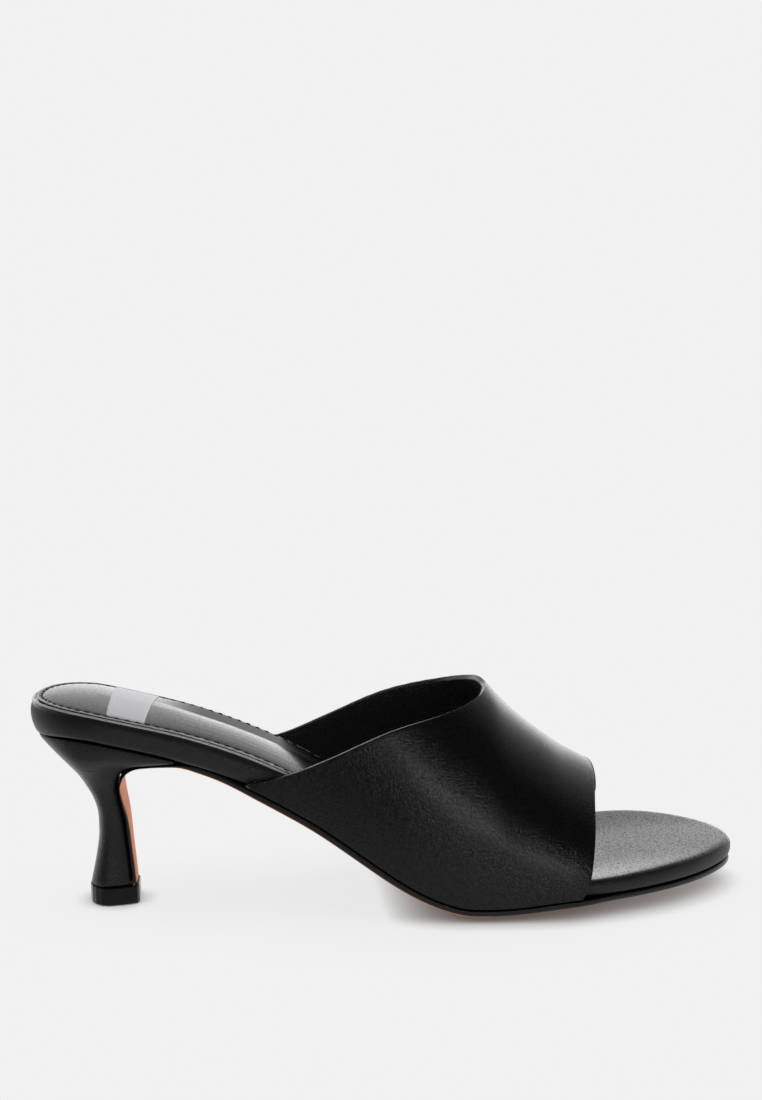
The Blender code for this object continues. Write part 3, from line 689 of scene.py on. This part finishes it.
def makeBead(tree, path):
    # The wrap's small raised edge, which runs round just outside the sock, coloured light grey as a
    # painted highlight on black leather.
    deselectAll()
    bpy.ops.curve.primitive_bezier_curve_add(radius=0.01, location=(0, 0, 0))
    bead = bpy.context.object
    bead.name = "wrapBead"
    bead.data.splines.clear()
    run = bead.data.splines.new("POLY")
    run.points.add(len(path) - 1)
    for point, (x, y) in zip(run.points, path):
        z = topAt(tree, x, y)[0]
        point.co = (x, y, z + beadShape["rise"], 1)
    bead.data.dimensions = "3D"
    bead.data.bevel_depth = beadShape["radius"]
    bead.data.bevel_resolution = 2
    bead.data.use_fill_caps = True
    makeActive(bead)
    bpy.ops.object.convert(target="MESH")
    bpy.ops.object.mode_set(mode="EDIT")
    bpy.ops.mesh.select_all(action="SELECT")
    bpy.ops.mesh.remove_doubles(threshold=0.00001)
    bpy.ops.mesh.normals_make_consistent(inside=False)
    bpy.ops.object.mode_set(mode="OBJECT")
    # the round edge is pressed a little flat
    points = pointsOf(bead)
    middle = np.array([(x, y, topAt(tree, x, y)[0] + beadShape["rise"]) for x, y in path])
    for k, point in enumerate(points):
        nearest = middle[np.argmin(np.hypot(middle[:, 0] - point[0], middle[:, 1] - point[1]))]
        points[k, 2] = nearest[2] + (point[2] - nearest[2]) * beadShape["flat"]
    setPoints(bead, points)
    finishPiece(bead, beadPaintedHighlight, angle=80)


def makeLabel(sockTree):
    nearX = labelShape["nearX"]
    farX = labelShape["farX"]
    half = labelShape["halfWidth"]
    deselectAll()
    bpy.ops.mesh.primitive_grid_add(x_subdivisions=12, y_subdivisions=40, size=1, location=(0, 0, 0))
    label = bpy.context.object
    label.name = "sockLabel"
    points = pointsOf(label)
    across = points[:, 0] + 0.5
    along = points[:, 1] + 0.5
    start = nearX[0] + (farX[0] - nearX[0]) * along
    end = nearX[1] + (farX[1] - nearX[1]) * along
    points[:, 0] = start + (end - start) * across
    points[:, 1] = -half + 2 * half * along
    for k in range(len(points)):
        points[k, 2] = topAt(sockTree, points[k, 0], points[k, 1])[0] + 0.00008
    setPoints(label, points)
    applyModifier(label, "SOLIDIFY", "thickness", thickness=labelShape["thick"], offset=1.0)
    applyModifier(label, "BEVEL", "edges", width=0.00008, segments=1, limit_method="ANGLE")
    finishPiece(label, silverRibbon, angle=50)
    return label


def makeStitches(tree, seam, name):
    # One stitch is modelled, and a copy of it lies at each spot along the seam.
    stitches = []
    for x, y, turn in evenSpots(seam, stitchShape["pitch"]):
        z, normal = topAt(tree, x, y)
        deselectAll()
        if not stitches:
            bpy.ops.mesh.primitive_uv_sphere_add(segments=8, ring_count=6, radius=0.5, location=(0, 0, 0))
            model = bpy.context.object
            model.name = name
            bpy.ops.object.mode_set(mode="EDIT")
            thick = stitchShape["thick"]
            bpy.ops.transform.resize(value=(stitchShape["length"], thick, thick))
            bpy.ops.object.mode_set(mode="OBJECT")
            base = pointsOf(model).copy()
            stitch = model
        else:
            stitch = model.copy()
            stitch.data = model.data.copy()
            bpy.context.scene.collection.objects.link(stitch)
        ahead = Vector((math.cos(turn), math.sin(turn), 0))
        side = normal.cross(ahead).normalized()
        ahead = side.cross(normal).normalized()
        centre = Vector((x, y, z)) + normal * stitchShape["rise"]
        turned = np.outer(base[:, 0], ahead) + np.outer(base[:, 1], side) + np.outer(base[:, 2], normal)
        setPoints(stitch, turned + np.array(centre))
        stitches.append(stitch)
    deselectAll()
    for stitch in stitches:
        stitch.select_set(True)
    bpy.context.view_layer.objects.active = model
    bpy.ops.object.join()
    finishPiece(model, blackThread, angle=80)
    return model


sock, rimPath, seamPath = makeSock()
makeLabel(treeOf(sock))
makeStitches(treeOf(sock), seamPath, "sockStitches")
makeBead(treeOf(footbed), insetPath(rimPath, -beadShape["outset"]))
print("sock dressed")


skyLook = {
    "wall": 1.9, "rest": 0.10, "beam": 13.0, "beamTurn": 171.5, "beamRise": 3.5,
    "beamInner": 2.0, "beamOuter": 6.5, "dimmed": 0.42, "overhead": 0.75, "aside": 0.55,
}
stageLook = {
    "paper": (0.8796, 0.8796, 0.8796, 1), "shade": (0.125, 0.095, 0.080, 1), "size": 6.0,
    "reach": 0.012, "wideReach": 0.06, "wideShade": 0.90, "toFront": (0.0, -0.50, 0.87),
    "mirrorNear": 0.75, "mirrorFar": 0.12, "mirrorBehind": 1.0, "mirrorHeel": 0.3,
}


def makeFloor():
    # Pale paper lit evenly from all round: a deep shade at the contact, and a faint wide one.
    deselectAll()
    bpy.ops.mesh.primitive_plane_add(size=stageLook["size"], location=(0, 0, -0.0001))
    floor = bpy.context.object
    floor.name = "studioFloor"
    material = bpy.data.materials.new("palePaper")
    material.use_nodes = True
    tree = material.node_tree
    tree.nodes.remove(tree.nodes["Principled BSDF"])
    contact = tree.nodes.new("ShaderNodeAmbientOcclusion")
    contact.samples = 24
    contact.inputs["Distance"].default_value = stageLook["reach"]
    contact.inputs["Normal"].default_value = stageLook["toFront"]
    depth = rangeNode(tree, contact.outputs["AO"], 0.06, 0.88, 0.0, 1.0)
    wide = tree.nodes.new("ShaderNodeAmbientOcclusion")
    wide.samples = 16
    wide.inputs["Distance"].default_value = stageLook["wideReach"]
    wide.inputs["Normal"].default_value = stageLook["toFront"]
    seen = tree.nodes.new("ShaderNodeEmission")
    tree.links.new(mixColour(tree, depth, stageLook["shade"], stageLook["paper"]), seen.inputs["Color"])
    faint = rangeNode(tree, wide.outputs["AO"], 0.25, 0.90, stageLook["wideShade"], 1.0)
    tree.links.new(faint, seen.inputs["Strength"])
    # painted reflection: only glossy rays see this glow, dim far in front of the shoe, brighter near it
    # and brightest behind it
    place = tree.nodes.new("ShaderNodeTexCoord").outputs["Object"]
    split = tree.nodes.new("ShaderNodeSeparateXYZ")
    tree.links.new(place, split.inputs[0])
    paintedReflection = tree.nodes.new("ShaderNodeEmission")
    y = split.outputs["Y"]
    glow = rangeNode(tree, y, -0.30, -0.14, stageLook["mirrorFar"], stageLook["mirrorNear"])
    behind = rangeNode(tree, y, -0.04, 0.08, 0.0, stageLook["mirrorBehind"])
    glow = mathNode(tree, "ADD", glow, behind)
    # the painted reflection is dimmer beyond the heel
    toHeel = rangeNode(tree, split.outputs["X"], -0.25, -0.10, stageLook["mirrorHeel"], 1.0)
    glow = mathNode(tree, "MULTIPLY", glow, toHeel)
    tree.links.new(glow, paintedReflection.inputs["Strength"])
    path = tree.nodes.new("ShaderNodeLightPath")
    mix = tree.nodes.new("ShaderNodeMixShader")
    tree.links.new(path.outputs["Is Glossy Ray"], mix.inputs[0])
    tree.links.new(seen.outputs[0], mix.inputs[1])
    tree.links.new(paintedReflection.outputs[0], mix.inputs[2])
    tree.links.new(mix.outputs[0], tree.nodes["Material Output"].inputs["Surface"])
    floor.data.materials.append(material)


def makeWorld():
    world = bpy.data.worlds.new("studio")
    bpy.context.scene.world = world
    world.use_nodes = True
    tree = world.node_tree
    seen = tree.nodes["Background"]
    seen.inputs["Color"].default_value = stageLook["paper"]
    lit = tree.nodes.new("ShaderNodeBackground")
    lit.inputs["Color"].default_value = (1, 1, 1, 1)
    direction = tree.nodes.new("ShaderNodeTexCoord").outputs["Generated"]
    split = tree.nodes.new("ShaderNodeSeparateXYZ")
    tree.links.new(direction, split.inputs[0])
    x, y, z = split.outputs
    # a bright wall behind the shoe that fades round both sides, and dims overhead
    lowBehind = rangeNode(tree, y, 0.05, 0.90, 0.0, 1.0)
    highBehind = rangeNode(tree, y, -0.40, 0.85, 0.0, 1.0)
    higher = rangeNode(tree, z, 0.10, 0.35, 0.0, 1.0)
    change = mathNode(tree, "SUBTRACT", highBehind, lowBehind)
    behind = mathNode(tree, "MULTIPLY_ADD", change, higher, lowBehind)
    glow = rangeNode(tree, z, 0.08, 0.32, 1.0, skyLook["dimmed"])
    overhead = rangeNode(tree, z, 0.45, 0.80, 1.0, skyLook["overhead"])
    fade = mathNode(tree, "MULTIPLY", glow, overhead)
    aside = rangeNode(tree, x, 0.20, 0.50, 0.0, skyLook["aside"])
    fade = mathNode(tree, "MAXIMUM", fade, aside)
    wallLight = mathNode(tree, "MULTIPLY", mathNode(tree, "MULTIPLY", fade, behind), skyLook["wall"])
    # a small soft light beside the camera, which draws the sheen down the side of the band
    turn = math.radians(skyLook["beamTurn"])
    climb = math.radians(skyLook["beamRise"])
    beam = (math.sin(turn) * math.cos(climb), math.cos(turn) * math.cos(climb), math.sin(climb))
    facing = mathNode(tree, "MULTIPLY", x, beam[0])
    facing = mathNode(tree, "MULTIPLY_ADD", y, beam[1], facing)
    facing = mathNode(tree, "MULTIPLY_ADD", z, beam[2], facing)
    inner = math.cos(math.radians(skyLook["beamInner"]))
    outer = math.cos(math.radians(skyLook["beamOuter"]))
    beamLight = rangeNode(tree, facing, outer, inner, 0.0, skyLook["beam"])
    most = mathNode(tree, "ADD", wallLight, beamLight)
    strength = mathNode(tree, "ADD", most, skyLook["rest"])
    tree.links.new(strength, lit.inputs["Strength"])
    camera = tree.nodes.new("ShaderNodeLightPath")
    mix = tree.nodes.new("ShaderNodeMixShader")
    tree.links.new(camera.outputs["Is Camera Ray"], mix.inputs[0])
    tree.links.new(lit.outputs[0], mix.inputs[1])
    tree.links.new(seen.outputs[0], mix.inputs[2])
    tree.links.new(mix.outputs[0], tree.nodes["World Output"].inputs["Surface"])


def makeCamera():
    # The photo's view, its focal length and centre in pixels of the 762 x 1100 picture.
    view = {"turn": -5.0, "rise": 16.0, "distance": 0.600, "target": (0.090, 0.0, 0.035),
            "focal": 1799.0, "centre": (387.0, 790.7), "image": (762, 1100), "sensor": 36.0}
    turn = math.radians(view["turn"])
    rise = math.radians(view["rise"])
    back = Vector((math.sin(turn) * math.cos(rise), -math.cos(turn) * math.cos(rise), math.sin(rise)))
    data = bpy.data.cameras.new("photoView")
    data.sensor_fit = "VERTICAL"
    data.sensor_height = view["sensor"]
    data.sensor_width = view["sensor"]
    data.lens = view["sensor"] * view["focal"] / view["image"][1]
    data.shift_x = -(view["centre"][0] - view["image"][0] / 2) / view["image"][1]
    data.shift_y = (view["centre"][1] - view["image"][1] / 2) / view["image"][1]
    camera = bpy.data.objects.new("photoView", data)
    camera.location = Vector(view["target"]) + back * view["distance"]
    camera.rotation_euler = back.to_track_quat("Z", "Y").to_euler()
    bpy.context.scene.collection.objects.link(camera)
    bpy.context.scene.camera = camera


bpy.context.scene.view_settings.view_transform = "Standard"
makeFloor()
makeWorld()
makeCamera()
print("stage set")
